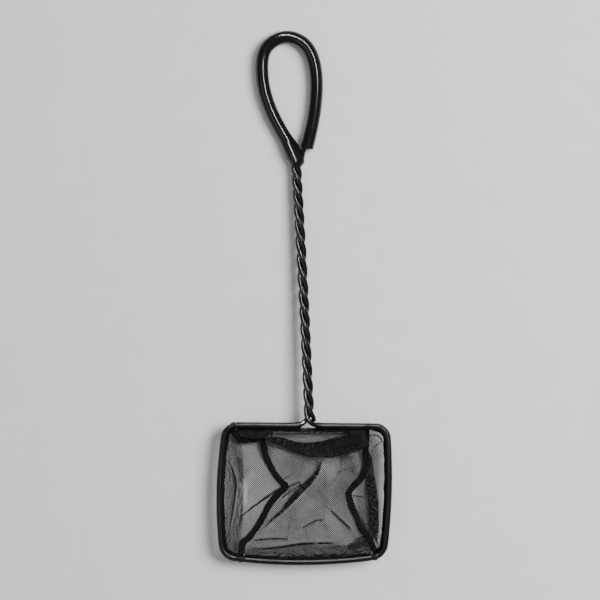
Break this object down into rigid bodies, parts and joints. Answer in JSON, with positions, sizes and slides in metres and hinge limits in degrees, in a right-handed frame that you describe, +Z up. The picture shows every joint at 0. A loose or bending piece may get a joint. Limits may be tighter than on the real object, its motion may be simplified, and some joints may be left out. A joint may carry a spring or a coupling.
{
  "type": "aquarium fish net",
  "caption": "Small hand net: a mesh bag on a rounded rectangular wire hoop, with a twisted wire shaft and a sleeved hanging loop",
  "frame": {"origin": "Under the middle of the whole net, on the surface that it lies on", "axes": "+X across the net, to the right when seen from above with the loop at the top; +Y from the bag to the hanging loop; +Z up, out of the bag's mouth"},
  "size_m": [0.1031, 0.3139, 0.013],
  "materials": {
    "coated_wire": "gloss",
    "vinyl_sleeve": "semi-gloss",
    "mesh": "matte",
    "binding_tape": "matte"
  },
  "bodies": {
    "root": {"frame_wire": "coated_wire", "loop_sleeve": "vinyl_sleeve", "main_panel": "mesh", "left_gusset": "mesh", "right_gusset": "mesh", "left_seam_binding": "binding_tape", "right_seam_binding": "binding_tape", "hem_top_left": "binding_tape", "hem_top_right": "binding_tape", "hem_left": "binding_tape", "hem_bottom": "binding_tape", "hem_right": "binding_tape", "tack_top_left": "binding_tape", "tack_bottom_left": "binding_tape", "tack_bottom_right": "binding_tape", "tack_top_right": "binding_tape"}
  },
  "joints": []
}
